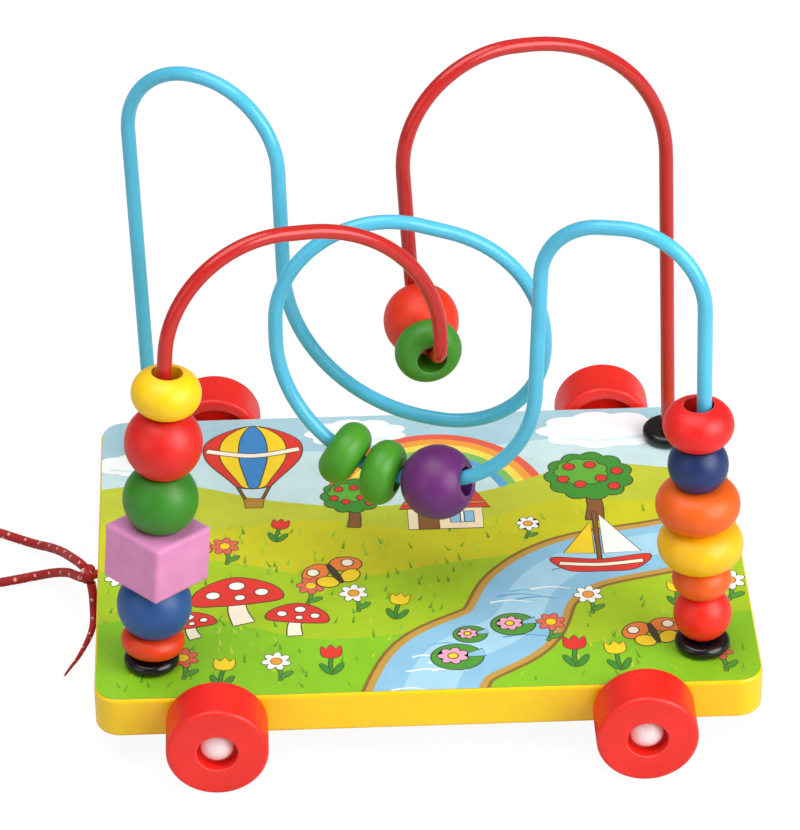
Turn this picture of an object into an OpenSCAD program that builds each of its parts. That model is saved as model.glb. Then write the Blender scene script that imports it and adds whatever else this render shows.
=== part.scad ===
// Bead maze: two plastic covered wires with wooden beads on a wheeled board with a pull cord.
// Units are millimetres. The origin is on the floor under the middle of the board.
// +X is the right end, +Y is the back, +Z is up, and the cord leaves the left end.

/* [Board] */
// Length of the board, left to right
board_w = 180; // [170:1:200]
// Depth of the board, front to back
board_d = 133; // [128:1:150]
// Thickness of the board
board_t = 12.4; // [11:0.1:16]
// Radius of the board's four corners, seen from above
board_corner_r = 7; // [5:0.5:9]
// Rounding of the board's top and bottom edges
board_edge_r = 1.2; // [0.8:0.1:2]

/* [Wheels] */
// Diameter of a wheel
wheel_d = 27.4; // [25:0.2:32]
// Width of a wheel
wheel_w = 14.3; // [12:0.1:18]
// Distance of each axle from the board's nearer end
wheel_inset = 32.7; // [28:0.1:40]
// Free space between a wheel and the board
wheel_gap = 0.4; // [0.3:0.1:1]
// Rounding of a wheel's two rims
wheel_edge_r = 1.2; // [0.5:0.1:2]
// Depth of the axles below the top of the board
axle_drop = 7.6; // [6:0.1:8.5]
// Diameter of the recess in a wheel's outer face
hub_recess_d = 11.2; // [10:0.1:13]
// Depth of the recess in a wheel's outer face
hub_recess_h = 4.2; // [3.4:0.1:5]
// Inner diameter of the ring groove in a wheel's inner face
wheel_groove_in_d = 10.5; // [9:0.1:12]
// Outer diameter of the ring groove in a wheel's inner face
wheel_groove_out_d = 21; // [18:0.2:22.5]
// Depth of the ring groove in a wheel's inner face
wheel_groove_h = 2.4; // [1:0.1:4]

/* [Axle pegs] */
// Diameter of a peg's shank
peg_d = 5; // [4:0.1:6]
// Length of shank in the board
peg_seat = 18; // [12:0.5:24]
// Diameter of a peg's head
peg_head_d = 8.8; // [8:0.1:9.8]
// Height of a peg's domed head
peg_head_h = 3; // [2.2:0.1:4]
// Straight rim of a peg's head below its dome
peg_rim_h = 0.9; // [0.5:0.1:1.4]

/* [Wires] */
// Outside diameter of the plastic sleeve
wire_d = 4; // [3.4:0.1:5]
// Diameter of the steel core
core_d = 2.4; // [2:0.1:2.8]
// Distance of the wire posts from the board's left and right ends
post_inset_x = 15.5; // [12:0.5:20]
// Distance of the wire posts from the board's front and back
post_inset_y = 16; // [12.5:0.5:20]
// Depth of the steel core in the board
core_seat = 9; // [7:0.5:10]

/* [Red wire] */
// Height of the front arch's left shoulder above the board
red_front_h = 127; // [122:0.5:132]
// Fall of the front arch from that shoulder to the next
red_front_fall = 10.5; // [6:0.5:14]
// Lean of the front left post to the right
red_front_lean_x = 9.5; // [6:0.5:12]
// Lean of the front left post to the back
red_front_lean_y = 8.5; // [5:0.5:11]
// Drop of the dip's bottom below the front arch's right shoulder
red_dip_drop = 46.5; // [44:0.5:49]
// Front leg of the dip, to the right of the middle
red_dip_front_x = 5.5; // [4:0.5:8]
// Front leg of the dip, in front of the middle
red_dip_front_y = 15.5; // [15:0.5:17]
// Back leg of the dip, to the left of the middle
red_dip_back_x = 0.5; // [0:0.5:2]
// Back leg of the dip, behind the middle
red_dip_back_y = 16.5; // [16:0.5:18]
// Lean of the dip's back leg to the left, up to the tall arch
red_dip_back_lean = 4.5; // [2:0.5:7]
// Height of the tall arch's left shoulder above the board
red_back_h = 146.5; // [140:0.5:152]
// Fall of the tall arch from that shoulder to the next
red_back_fall = 7.5; // [4:0.5:11]
// Lean of the back right post to the left
red_back_lean_x = 5; // [2:0.5:8]
// Lean of the back right post to the front
red_back_lean_y = 7.5; // [4:0.5:10]

/* [Blue wire] */
// Height of the back arch above the board
blue_back_h = 131.5; // [126:0.5:137]
// Lean of the back left post to the left
blue_back_lean_x = 3.5; // [1:0.5:6]
// Lean of the back left post to the front
blue_back_lean_y = 1; // [0:0.5:4]
// Start of the loop, to the left of the middle
loop_start_x = 35; // [32:0.5:38]
// Start of the loop, behind the middle
loop_start_y = 25; // [22:0.5:28]
// Lean of the loop's first leg to the left, up to the back arch
loop_start_lean = 2; // [0.5:0.5:4]
// Drop of the back bend's left corner below the bottom of the red dip
loop_back_drop = 34.5; // [32:0.5:37]
// Fall of the back bend from that corner to the next
loop_back_fall = 3.5; // [1:0.5:6]
// Right side of the loop, to the right of the middle
loop_right_x = 35; // [32:0.5:38]
// Right side of the loop, behind the middle
loop_right_y = 6; // [4:0.5:8]
// Rise of the loop's right shoulder above the bottom of the red dip, which hangs inside the loop
loop_over_dip = 21; // [18:0.5:24]
// Rise of the loop's top from that shoulder to the next
loop_top_rise = 26; // [22:0.5:30]
// Left side of the loop, to the left of the middle
loop_left_x = 38.5; // [36:0.5:41]
// Left side of the loop, behind the middle
loop_left_y = 0.5; // [0:0.5:2]
// Drop of the loop's front bottom below the bottom of the red dip
loop_front_drop = 36; // [34:0.5:38]
// End of the loop, to the right of the middle
loop_end_x = 29; // [27:0.5:31]
// End of the loop, in front of the middle
loop_end_y = 30; // [28:0.5:32]
// Lean of the loop's last leg to the right, up to the front arch
loop_end_lean = 2.5; // [0:0.5:5]
// Height of the front arch's left shoulder above the board
blue_front_h = 123; // [118:0.5:128]
// Rise of the front arch from that shoulder to the next
blue_front_rise = 6; // [3:0.5:9]
// Lean of the front right post to the left
blue_front_lean_x = 2.5; // [0:0.5:5]
// Lean of the front right post to the back
blue_front_lean_y = 3.5; // [1:0.5:6]

/* [End caps] */
// Diameter of a wire's black end cap
cap_d = 15; // [13:0.1:17]
// Height of a wire's black end cap
cap_h = 3.8; // [3.4:0.1:5]

/* [Beads] */
// Bore of every bead
bead_bore = 8.2; // [7.8:0.1:8.6]
// Free space between neighbours on a post
bead_gap = 0.25; // [0.2:0.05:0.5]
// Free space between an end cap and the leaning bead above it
cap_gap = 0.8; // [0.7:0.05:1.2]
// Diameter of the left post's orange bead
left_orange_d = 17.3; // [16.5:0.1:18]
// Length of the left post's orange bead
left_orange_h = 6.4; // [6:0.1:7.6]
// Diameter of the left post's blue bead
left_blue_d = 20.2; // [19.5:0.1:21]
// Length of the left post's blue bead
left_blue_h = 16; // [15.4:0.1:17.2]
// Side of the left post's pink cube
left_cube_side = 20.2; // [19.5:0.1:21]
// Height of the left post's pink cube
left_cube_h = 16.4; // [15.8:0.1:17.4]
// Rounding of the pink cube's edges
cube_edge_r = 1.2; // [0.8:0.1:2]
// Diameter of the left post's green bead
left_green_d = 20.2; // [19.5:0.1:21]
// Length of the left post's green bead
left_green_h = 16.2; // [15.6:0.1:17.2]
// Diameter of the left post's red bead
left_red_d = 20.8; // [20:0.1:21.5]
// Length of the left post's red bead
left_red_h = 17.4; // [16.8:0.1:18.2]
// Diameter of the left post's yellow bead
left_yellow_d = 18.6; // [18:0.1:19.2]
// Length of the left post's yellow bead
left_yellow_h = 12.2; // [11.5:0.1:12.6]
// Diameter of the right post's low red bead
right_red_low_d = 15.8; // [15.2:0.1:16.4]
// Length of the right post's low red bead
right_red_low_h = 13.2; // [12.4:0.1:13.4]
// Diameter of the right post's small orange bead
right_orange_small_d = 16; // [15.4:0.1:16.6]
// Length of the right post's small orange bead
right_orange_small_h = 9.4; // [8.8:0.1:9.8]
// Diameter of the right post's yellow bead
right_yellow_d = 23.1; // [22.5:0.1:23.7]
// Length of the right post's yellow bead
right_yellow_h = 12.4; // [11.8:0.1:13]
// Diameter of the right post's large orange bead
right_orange_d = 22.7; // [22:0.1:23.3]
// Length of the right post's large orange bead
right_orange_h = 12.4; // [11.8:0.1:13]
// Diameter of the right post's navy bead
right_navy_d = 16.2; // [15.6:0.1:16.8]
// Length of the right post's navy bead
right_navy_h = 12; // [11.4:0.1:12.6]
// Diameter of the right post's top red bead
right_red_top_d = 18.9; // [18.3:0.1:19.5]
// Length of the right post's top red bead
right_red_top_h = 12.4; // [11.8:0.1:13]
// Diameter of the three green rings
ring_d = 18.4; // [18:0.1:18.6]
// Length of the three green rings
ring_h = 9.8; // [9:0.1:9.9]
// Diameter of the orange bead in the dip
dip_orange_d = 20.6; // [20:0.1:21]
// Length of the orange bead in the dip
dip_orange_h = 15.2; // [14.6:0.1:15.3]
// How far the green ring in the dip hangs below its wire's middle
dip_ring_hang = 0.6; // [0.3:0.1:0.8]
// How far the green ring in the dip sits to the left of its wire
dip_ring_side = 1.2; // [0.6:0.1:1.3]
// How far the orange bead in the dip rides above its wire's middle
dip_orange_lift = 0.5; // [0.4:0.1:0.7]
// Diameter of the purple bead in the loop
loop_purple_d = 20.6; // [20:0.1:21.2]
// Length of the purple bead in the loop
loop_purple_h = 17.4; // [16.8:0.1:18]
// How far a bead in the loop hangs below its wire's middle
loop_hang = 1.2; // [0.8:0.1:1.3]
// How far the topmost beads of a post lean off their wire's middle
stack_slip_x = 1.5; // [0:0.1:1.6]

/* [Bead places] */
// Place of the dip's green ring, in front of the middle of the dip's bottom
dip_ring_front = 6.8; // [6.7:0.1:7.1]
// Place of the dip's orange bead, behind the middle of the dip's bottom
dip_orange_back = 6.7; // [6.6:0.1:6.9]
// Tilt of the dip's orange bead with the wire behind it, in degrees
dip_orange_angle = 8; // [7:0.5:9]
// Swing of the loop's left green ring from the bottom, in degrees
loop_left_angle = -27.5; // [-29:0.5:-27.5]
// Swing of the loop's middle green ring from the bottom, in degrees
loop_middle_angle = -9.5; // [-10:0.5:-9]
// Swing of the loop's purple bead from the bottom, in degrees
loop_purple_angle = 15.5; // [15:0.5:17]

/* [Pull cord] */
// Diameter of the cord
cord_d = 2.7; // [2.4:0.1:2.8]
// Length of cord glued into the board
cord_seat = 10; // [6:0.5:14]
// Diameter of the knot
knot_d = 6; // [5.6:0.1:6.6]
// Turns of the put away coil in each of its two layers
coil_turns = 2.5; // [1.5:1:2.5]
// Width of the coil's tie
tie_w = 4; // [3:0.1:5]
// Thickness of the coil's tie
tie_t = 0.4; // [0.4:0.05:0.5]

/* [Fits] */
// Radial clearance of a wheel on its peg
run_clear = 0.06; // [0.04:0.01:0.09]
// Radial clearance of glued pegs, cores and cord
glue_clear = 0.05; // [0.03:0.01:0.1]
// Radial clearance of a sleeve in its end cap
cap_clear = 0.3; // [0.2:0.05:0.5]
// End play of a wheel under its peg's head
end_play = 0.3; // [0.2:0.05:0.4]

/* [Hidden] */
$fn = 64;
// Cuts run past the faces that they open by this much
overrun = 1;
// A wire's straights lap over its bends by this much, and the bends are thinner by the step
seam_lap = 0.1;
seam_step = 0.02;

wheel_r = wheel_d / 2;
board_top = wheel_r + axle_drop;
board_bottom = board_top - board_t;
wheel_face_y = board_d / 2 + wheel_gap;
edge_z = board_top - board_t / 2;
wheel_x = board_w / 2 - wheel_inset;
post_x = board_w / 2 - post_inset_x;
post_y = board_d / 2 - post_inset_y;
red_dip_h = red_front_h - red_front_fall - red_dip_drop;
loop_top_h = red_dip_h + loop_over_dip;
loop_back_h = red_dip_h - loop_back_drop;
loop_front_h = red_dip_h - loop_front_drop;

// Shares of the straight before and after each corner of a wire that its bend takes up
red_bend_shares = [[0.4, 0.42], [0.52, 0.82], [0.17, 0.24], [0.24, 0.3], [0.6, 0.44], [0.52, 0.5]];
blue_bend_shares = [
  [0.4, 0.49], [0.49, 0.4], [0.5, 0.56], [0.42, 0.5], [0.49, 0.36],
  [0.53, 0.51], [0.48, 0.49], [0.49, 0.5], [0.36, 0.36], [0.52, 0.4]
];

// Feet of the four posts on the board's top
foot_front_left = [-post_x, -post_y, board_top];
foot_front_right = [post_x, -post_y, board_top];
foot_back_left = [-post_x, post_y, board_top];
foot_back_right = [post_x, post_y, board_top];

// Corners of the red wire, from the front left foot to the back right foot
red_corners = [
  foot_front_left,
  foot_front_left + [red_front_lean_x, red_front_lean_y, red_front_h],
  [red_dip_front_x, -red_dip_front_y, board_top + red_front_h - red_front_fall],
  [red_dip_front_x, -red_dip_front_y, board_top + red_dip_h],
  [-red_dip_back_x, red_dip_back_y, board_top + red_dip_h],
  [-red_dip_back_x - red_dip_back_lean, red_dip_back_y, board_top + red_back_h],
  foot_back_right + [-red_back_lean_x, -red_back_lean_y, red_back_h - red_back_fall],
  foot_back_right
];

// Corners of the blue wire, from the back left foot to the front right foot
blue_corners = [
  foot_back_left,
  foot_back_left + [-blue_back_lean_x, -blue_back_lean_y, blue_back_h],
  [-loop_start_x - loop_start_lean, loop_start_y, board_top + blue_back_h],
  [-loop_start_x, loop_start_y, board_top + loop_back_h],
  [loop_right_x, loop_right_y, board_top + loop_back_h - loop_back_fall],
  [loop_right_x, loop_right_y, board_top + loop_top_h],
  [-loop_left_x, loop_left_y, board_top + loop_top_h + loop_top_rise],
  [-loop_left_x, loop_left_y, board_top + loop_front_h],
  [loop_end_x, -loop_end_y, board_top + loop_front_h],
  [loop_end_x + loop_end_lean, -loop_end_y, board_top + blue_front_h],
  foot_front_right + [-blue_front_lean_x, blue_front_lean_y, blue_front_h + blue_front_rise],
  foot_front_right
];

// Numbers of the corners before the two bottoms that carry hanging beads
dip_corner = 3;
loop_corner = 7;

// Beads: name, kind, diameter or side, length, paint, and then on a post the share of the sideways
// slip, in the dip the place along its bottom, the hang, the tilt and the shift to the left, or in the
// loop the swing from the bottom and the hang
LEFT_POST = [
  ["left_post_orange_bead", "ring", left_orange_d, left_orange_h, "#F2500A", 0],
  ["left_post_blue_bead", "ball", left_blue_d, left_blue_h, "#2F62A8", 0],
  ["left_post_pink_cube", "cube", left_cube_side, left_cube_h, "#DB88BF", 0.1],
  ["left_post_green_bead", "ball", left_green_d, left_green_h, "#3FA02A", 0.3],
  ["left_post_red_bead", "ball", left_red_d, left_red_h, "#EE2A20", 0.4],
  ["left_post_yellow_bead", "ring", left_yellow_d, left_yellow_h, "#FFE000", 0.5]
];
RIGHT_POST = [
  ["right_post_low_red_bead", "ball", right_red_low_d, right_red_low_h, "#F2341F", 0],
  ["right_post_small_orange_bead", "ring", right_orange_small_d, right_orange_small_h, "#F57414", -0.2],
  ["right_post_yellow_bead", "ring", right_yellow_d, right_yellow_h, "#FFD500", -0.5],
  ["right_post_large_orange_bead", "ring", right_orange_d, right_orange_h, "#F57414", -1],
  ["right_post_navy_bead", "ball", right_navy_d, right_navy_h, "#2C4585", -1],
  ["right_post_top_red_bead", "ring", right_red_top_d, right_red_top_h, "#F01E20", -1]
];
DIP_BEADS = [
  ["dip_green_ring", "ring", ring_d, ring_h, "#3FA02A", -dip_ring_front, dip_ring_hang, 0,
    dip_ring_side],
  ["dip_orange_bead", "ball", dip_orange_d, dip_orange_h, "#F03A14", dip_orange_back, -dip_orange_lift,
    dip_orange_angle, 0]
];
LOOP_BEADS = [
  ["loop_left_green_ring", "ring", ring_d, ring_h, "#3F8F2C", loop_left_angle, loop_hang],
  ["loop_middle_green_ring", "ring", ring_d, ring_h, "#3F8F2C", loop_middle_angle, loop_hang],
  ["loop_purple_bead", "ball", loop_purple_d, loop_purple_h, "#722D86", loop_purple_angle, loop_hang]
];
CORNERS = [
  ["front_left", -1, -1, foot_front_left, red_corners[1]],
  ["front_right", 1, -1, foot_front_right, blue_corners[10]],
  ["back_left", -1, 1, foot_back_left, blue_corners[1]],
  ["back_right", 1, 1, foot_back_right, red_corners[6]]
];

// Route of the pull cord: both strands and the tail, from the knot outwards, with x from the board's left end
cord_exit = [-board_w / 2, 0, edge_z];
knot_middle = cord_exit - [knot_d / 2, 0, 0];
strand_back_route = from_board_end([
  [-4, 1.6, 16.4], [-5.8, 5, 15.8], [-8, 10.4, 13.6], [-10, 16, 11], [-12.5, 21.5, 8.4],
  [-15.5, 27, 5.6], [-19, 31.5, 3.4], [-23.5, 35.5, 2.3], [-29, 39, 2.15], [-35.5, 42.5, 2.15],
  [-42.5, 45, 2.15], [-49, 46, 2.15], [-52, 46, 2.15]
]);
strand_front_route = from_board_end([
  [-4.8, 0.5, 13.6], [-6.4, 3.4, 12.2], [-8.6, 7.6, 10.2], [-11, 11.6, 7.6], [-14, 15, 5],
  [-18, 17.4, 2.6], [-23.5, 17, 1.8], [-30, 14.8, 2.2], [-37, 12, 3.4], [-44, 10.3, 4.8],
  [-49, 10, 5.3], [-52, 10, 5.3]
]);
tail_route = from_board_end([
  [-2.2, -1.4, 13], [-1.9, -1.8, 9.4], [-1.9, -2.4, 5.4], [-2, -4.6, 2.4], [-2.6, -9, 1.6],
  [-4, -14.5, 1.5], [-6, -20.5, 1.5], [-8, -25, 1.5], [-9.6, -28.6, 1.5]
]);
tube_sides = 8;

// The put away coil lies on the floor to the left and takes up the strands' ends
coil_reach = 56;
coil_side = 28;
coil_middle = [cord_exit.x - coil_reach, coil_side];
coil_start_r = 18;
coil_turn_gap = 0.45;
coil_step = cord_d + coil_turn_gap;
coil_low_z = 2.15;
coil_high_z = coil_low_z + coil_step;
// The climb between the two layers takes half a turn, and the spiral reverses in its middle
coil_climb_share = 0.5;
coil_total = 2 * coil_turns + coil_climb_share;
coil_rings = 24;
coil_sides = 6;
// The tie goes round the turns a quarter turn past the coil's start
tie_turn_share = 0.25;
tie_clear = 0.3;

function unit(v) = v / norm(v);
function from_board_end(route) = [for (p = route) p - [board_w / 2, 0, 0]];
function turn_angle(a, b) = acos(unit(a) * unit(b));
// Rigid placement with local z along a direction; on an upright one local x points right
function frame_at(o, z) =
  let (x = abs(z.x) < abs(z.z) ? unit([1, 0, 0] - z * z.x) : unit(cross([0, 0, 1], z)), y = cross(z, x))
  [[x.x, y.x, z.x, o.x], [x.y, y.y, z.y, o.y], [x.z, y.z, z.z, o.z], [0, 0, 0, 1]];
function bend_length(corners, shares, i) =
  min(
    shares[i - 1][0] * norm(corners[i] - corners[i - 1]),
    shares[i - 1][1] * norm(corners[i + 1] - corners[i])
  );
function bend_radius(corners, shares, i) =
  bend_length(corners, shares, i)
    / tan(turn_angle(corners[i] - corners[i - 1], corners[i + 1] - corners[i]) / 2);
function bend_middle(corners, shares, i) =
  let (back = unit(corners[i - 1] - corners[i]), on = unit(corners[i + 1] - corners[i]))
  corners[i]
    + unit(back + on) * norm([bend_radius(corners, shares, i), bend_length(corners, shares, i)]);
function post_axis(corners, last) = last
  ? unit(corners[len(corners) - 2] - corners[len(corners) - 1])
  : unit(corners[1] - corners[0]);

// Sweeps two 2D sections along a wire's corners: the first on straights, the second round bends.
// Straights lap a little over the ends of the bends, which are a hair thinner.
module run_wire(corners, shares) {
  last = len(corners) - 1;
  for (i = [0 : last - 1]) {
    way = unit(corners[i + 1] - corners[i]);
    start = i == 0 ? 0 : bend_length(corners, shares, i) - seam_lap;
    spare = i == last - 1 ? 0 : bend_length(corners, shares, i + 1) - seam_lap;
    multmatrix(frame_at(corners[i] + way * start, way))
      linear_extrude(height = norm(corners[i + 1] - corners[i]) - start - spare)
        children(0);
  }
  for (i = [1 : last - 1]) {
    back = unit(corners[i - 1] - corners[i]);
    on = unit(corners[i + 1] - corners[i]);
    middle = bend_middle(corners, shares, i);
    u = unit(corners[i] + back * bend_length(corners, shares, i) - middle);
    w = -back;
    n = cross(u, w);
    multmatrix([
      [u.x, w.x, n.x, middle.x],
      [u.y, w.y, n.y, middle.y],
      [u.z, w.z, n.z, middle.z],
      [0, 0, 0, 1]
    ])
      rotate_extrude(angle = turn_angle(-back, on))
        translate([bend_radius(corners, shares, i), 0])
          children(1);
  }
}

// Wire corners with both feet moved along their posts
function with_feet(corners, rise) =
  let (last = len(corners) - 1)
  [for (i = [0 : last])
    i == 0 ? corners[0] + post_axis(corners, false) * rise
    : i == last ? corners[last] + post_axis(corners, true) * rise
    : corners[i]];

module sleeve_section(thinner) {
  difference() {
    circle(d = wire_d - 2 * thinner);
    circle(d = core_d + 2 * glue_clear + 2 * thinner);
  }
}

module wire_sleeve(corners, shares, paint) {
  color(paint)
    run_wire(with_feet(corners, cap_clear), shares) {
      sleeve_section(0);
      sleeve_section(seam_step);
    }
}

module wire_core(corners, shares) {
  color("#B8BCC0")
    run_wire(with_feet(corners, -core_seat), shares) {
      circle(d = core_d);
      circle(d = core_d - 2 * seam_step);
    }
}

// Half section of the board's edge, from a corner's middle outwards
module board_edge() {
  square([board_corner_r - board_edge_r, board_t]);
  translate([0, board_edge_r])
    square([board_corner_r, board_t - 2 * board_edge_r]);
  for (y = [board_edge_r, board_t - board_edge_r])
    translate([board_corner_r - board_edge_r, y])
      circle(r = board_edge_r);
}

module board_blank() {
  inner_w = board_w - 2 * board_corner_r;
  inner_d = board_d - 2 * board_corner_r;
  translate([-inner_w / 2, -inner_d / 2, 0])
    cube([inner_w, inner_d, board_t]);
  for (side = [0, 1]) {
    rotate(180 * side)
      translate([inner_w / 2, inner_d / 2, 0])
        rotate([90, 0, 0])
          linear_extrude(height = inner_d)
            board_edge();
    rotate(180 * side)
      translate([-inner_w / 2, inner_d / 2, 0])
        rotate([90, 0, 90])
          linear_extrude(height = inner_w)
            board_edge();
  }
  for (corner = [[1, 1, 0], [-1, 1, 90], [-1, -1, 180], [1, -1, 270]])
    translate([corner.x * inner_w / 2, corner.y * inner_d / 2, 0])
      rotate(corner.z)
        rotate_extrude(angle = 90)
          board_edge();
}

module base_board() {
  color("#F7D40A")
    difference() {
      translate([0, 0, board_bottom])
        board_blank();
      for (c = CORNERS) {
        post = unit(c[4] - c[3]);
        multmatrix(frame_at(c[3] - post * core_seat, post))
          cylinder(d = core_d + 2 * glue_clear, h = core_seat + overrun);
        translate([c[1] * wheel_x, c[2] * (board_d / 2 - peg_seat), wheel_r])
          rotate([-90 * c[2], 0, 0])
            cylinder(d = peg_d + 2 * glue_clear, h = peg_seat + overrun);
      }
      translate(cord_exit - [overrun, 0, 0])
        rotate([0, 90, 0])
          cylinder(d = cord_d + 2 * glue_clear, h = cord_seat + overrun);
    }
}

// A low round collar that hides the hole where a wire enters the board
module end_cap(c) {
  post = unit(c[4] - c[3]);
  color("#1A1A1A")
    difference() {
      translate(c[3])
        rotate_extrude() {
          square([(cap_d - cap_h) / 2, cap_h]);
          translate([(cap_d - cap_h) / 2, cap_h / 2])
            intersection() {
              circle(d = cap_h);
              translate([0, -cap_h / 2])
                square(cap_h);
            }
        }
      multmatrix(frame_at(c[3] - post * overrun, post))
        cylinder(d = wire_d + 2 * cap_clear, h = cap_h + 2 * overrun);
    }
}

// Stands a turned piece on its axle: local z points out of the board's long side
module on_axle(c) {
  translate([c[1] * wheel_x, c[2] * wheel_face_y, wheel_r])
    rotate([-90 * c[2], 0, 0])
      children();
}

module axle_peg(c) {
  head_z = wheel_w - hub_recess_h + end_play;
  dome_h = peg_head_h - peg_rim_h;
  dome_r = (pow(peg_head_d / 2, 2) + pow(dome_h, 2)) / (2 * dome_h);
  color("#F3DCDD")
    on_axle(c) {
      translate([0, 0, -wheel_gap - peg_seat])
        cylinder(d = peg_d, h = wheel_gap + peg_seat + head_z);
      translate([0, 0, head_z])
        rotate_extrude()
          intersection() {
            square([peg_head_d / 2, peg_head_h]);
            translate([0, peg_head_h - dome_r])
              circle(r = dome_r);
          }
    }
}

module wheel_section() {
  difference() {
    union() {
      square([wheel_r - wheel_edge_r, wheel_w]);
      translate([0, wheel_edge_r])
        square([wheel_r, wheel_w - 2 * wheel_edge_r]);
      for (y = [wheel_edge_r, wheel_w - wheel_edge_r])
        translate([wheel_r - wheel_edge_r, y])
          circle(r = wheel_edge_r);
    }
    translate([-overrun, -overrun])
      square([peg_d / 2 + run_clear + overrun, wheel_w + 2 * overrun]);
    translate([-overrun, wheel_w - hub_recess_h])
      square([hub_recess_d / 2 + overrun, hub_recess_h + overrun]);
    translate([wheel_groove_in_d / 2, -overrun])
      square([(wheel_groove_out_d - wheel_groove_in_d) / 2, wheel_groove_h + overrun]);
  }
}

module wheel(c) {
  color("#F23A2C")
    on_axle(c)
      rotate_extrude()
        wheel_section();
}

// Turned bead with a full round rim
module ring_bead(d, h) {
  rotate_extrude()
    difference() {
      union() {
        translate([0, -h / 2])
          square([(d - h) / 2, h]);
        translate([(d - h) / 2, 0])
          circle(d = h);
      }
      translate([-d, -d])
        square([d + bead_bore / 2, 2 * d]);
    }
}

// Turned ball with flats where the bore comes out
module ball_bead(d, h) {
  rotate_extrude()
    intersection() {
      circle(d = d);
      translate([bead_bore / 2, -h / 2])
        square([d, h]);
    }
}

module rounded_square(side_x, side_y, r) {
  square([side_x - 2 * r, side_y], center = true);
  square([side_x, side_y - 2 * r], center = true);
  for (x = [-1, 1], y = [-1, 1])
    translate([x * (side_x / 2 - r), y * (side_y / 2 - r)])
      circle(r = r);
}

// Cube bead, turned so that one upright edge faces the front
module cube_bead(side, h) {
  rotate(45)
    difference() {
      intersection() {
        linear_extrude(height = h, center = true)
          rounded_square(side, side, cube_edge_r);
        rotate([90, 0, 0])
          linear_extrude(height = side, center = true)
            rounded_square(side, h, cube_edge_r);
        rotate([90, 0, 90])
          linear_extrude(height = side, center = true)
            rounded_square(side, h, cube_edge_r);
      }
      cylinder(d = bead_bore, h = h + 2 * overrun, center = true);
    }
}

module bead(b) {
  color(b[4]) {
    if (b[1] == "ring")
      ring_bead(b[2], b[3]);
    if (b[1] == "ball")
      ball_bead(b[2], b[3]);
    if (b[1] == "cube")
      cube_bead(b[2], b[3]);
  }
}

// Height of a bead's middle above its post's foot, with the beads below it in place
function stack_height(beads, k) =
  k == 0
    ? cap_h + cap_gap + beads[0][3] / 2
    : stack_height(beads, k - 1) + beads[k - 1][3] / 2 + bead_gap + beads[k][3] / 2;

module post_bead(beads, k, foot, axis) {
  multmatrix(frame_at(foot + axis * stack_height(beads, k), axis))
    translate([stack_slip_x * beads[k][5], 0, 0])
      bead(beads[k]);
}

// A bead on the dip's straight bottom
dip_along = unit(red_corners[dip_corner + 1] - red_corners[dip_corner]);
dip_middle = (red_corners[dip_corner] + red_corners[dip_corner + 1]) / 2;
function dip_way(b) = dip_along * cos(b[7]) + [0, 0, sin(b[7])];
function dip_point(b) =
  dip_middle + dip_along * b[5] - [0, 0, b[6]] + cross([0, 0, 1], dip_along) * b[8];
module dip_bead(b) {
  multmatrix(frame_at(dip_point(b), dip_way(b)))
    bead(b);
}

// A bead that hangs in a bottom of two like bends, swung from its lowest point
module bend_bead(b, corners, shares, i) {
  middle = (bend_middle(corners, shares, i) + bend_middle(corners, shares, i + 1)) / 2;
  along = unit(corners[i + 1] - corners[i]);
  way = along * cos(b[5]) + [0, 0, sin(b[5])];
  down = along * sin(b[5]) - [0, 0, cos(b[5])];
  multmatrix(frame_at(middle + down * (bend_radius(corners, shares, i) + b[6]), way))
    bead(b);
}

// One closed tube round a route, its rings square to the way between each point's neighbours
function route_way(route, i) =
  unit(route[min(i + 1, len(route) - 1)] - route[max(i - 1, 0)]);
function ring_points(route, i, d, sides) =
  let (way = route_way(route, i), side = unit(cross([0, 0, 1], way)), up = cross(way, side))
  [for (k = [0 : sides - 1])
    route[i] + (side * cos(360 * k / sides) + up * sin(360 * k / sides)) * d / 2];
module tube(route, d, sides) {
  rings = len(route);
  last = (rings - 1) * sides;
  polyhedron(
    points = [for (i = [0 : rings - 1]) each ring_points(route, i, d, sides)],
    faces = concat(
      [[for (k = [0 : sides - 1]) k]],
      [for (i = [0 : rings - 2], k = [0 : sides - 1])
        let (a = i * sides + k, b = i * sides + (k + 1) % sides)
        each [[a, b + sides, b], [a, a + sides, b + sides]]],
      [[for (k = [sides - 1 : -1 : 0]) last + k]]
    )
  );
}

// Turns of the coil: in on the floor, up in the half turn where the spiral reverses, and out on top
function coil_radius(u) =
  coil_start_r - coil_step * (coil_total / 2 - abs(u - coil_total / 2));
function coil_height(u) =
  let (f = min(1, max(0, (u - coil_turns) / coil_climb_share)))
  coil_low_z + coil_step * f * f * (3 - 2 * f);
function coil_point(u) = [
  coil_middle.x - coil_radius(u) * sin(360 * u),
  coil_middle.y + coil_radius(u) * cos(360 * u),
  coil_height(u)
];
function last_of(route) = route[len(route) - 1];
coil_route = concat(
  [last_of(strand_back_route)],
  [for (k = [0 : coil_rings * coil_total]) coil_point(k / coil_rings)],
  [last_of(strand_front_route)]
);
// Least gap between turns, measured between points at least half a turn apart
coil_least_gap = min([
  for (i = [0 : len(coil_route) - 1], j = [i + coil_rings / 2 : len(coil_route) - 1])
    norm(coil_route[i] - coil_route[j])
]) - cord_d;
echo(coil_least_gap = coil_least_gap);

module cord_knot() {
  color("#C0181A") {
    translate(knot_middle)
      sphere(d = knot_d);
    translate(knot_middle)
      rotate([0, 90, 0])
        cylinder(d = cord_d, h = knot_d / 2 + cord_seat);
  }
}

module pull_cord_back_strand() {
  color("#C0181A")
    tube(strand_back_route, cord_d, tube_sides);
}

module pull_cord_front_strand() {
  color("#C0181A")
    tube(strand_front_route, cord_d, tube_sides);
}

module cord_tail() {
  color("#C0181A")
    tube(tail_route, cord_d, tube_sides);
}

module pull_cord_coil() {
  color("#C0181A")
    tube(coil_route, cord_d, coil_sides);
}

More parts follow.
